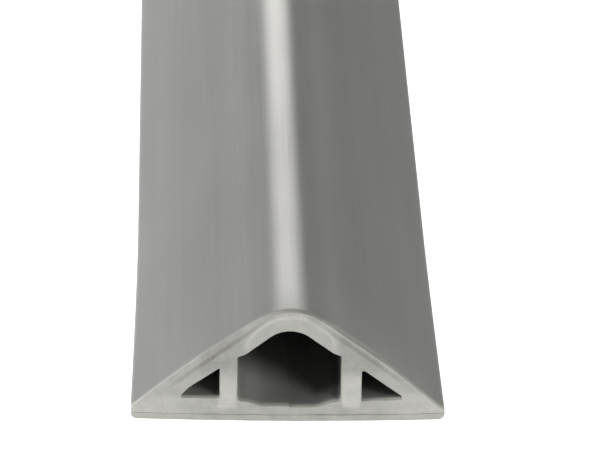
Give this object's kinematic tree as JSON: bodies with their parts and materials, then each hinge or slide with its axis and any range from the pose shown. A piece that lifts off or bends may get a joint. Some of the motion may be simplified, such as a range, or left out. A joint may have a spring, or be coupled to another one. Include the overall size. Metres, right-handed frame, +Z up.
{
  "type": "cable protector ramp",
  "caption": "Low ridge-shaped floor strip with a cable channel, hollow flanks and a slit base whose two flaps flex open to take a cable.",
  "frame": {"origin": "on the floor, under the middle of the strip", "axes": "+X across the strip, +Y along it, +Z up from the floor; -Y is the near end"},
  "size_m": [0.06, 1, 0.025],
  "materials": {
    "cover": "satin soft grey plastic with fine lengthwise streaks, paler and matt where it is cut",
    "sole": "matt soft grey plastic"
  },
  "bodies": {
    "ramp": {"cover": "cover", "left_sole": "sole", "right_sole": "sole"},
    "left_flap": {"left_flap": "cover", "left_flap_sole": "sole"},
    "right_flap": {"right_flap": "cover", "right_flap_sole": "sole"}
  },
  "joints": [
    {"name": "left_flap_hinge", "type": "hinge", "parent": "ramp", "child": "left_flap", "pos_m": [-0.0079, 0, 0.002], "axis": [0, -1, 0], "range_deg": [-45, 80], "stiffness_Nm_per_rad": 0.5},
    {"name": "right_flap_hinge", "type": "hinge", "parent": "ramp", "child": "right_flap", "pos_m": [0.0079, 0, 0.002], "axis": [0, 1, 0], "range_deg": [-45, 80], "stiffness_Nm_per_rad": 0.5}
  ]
}
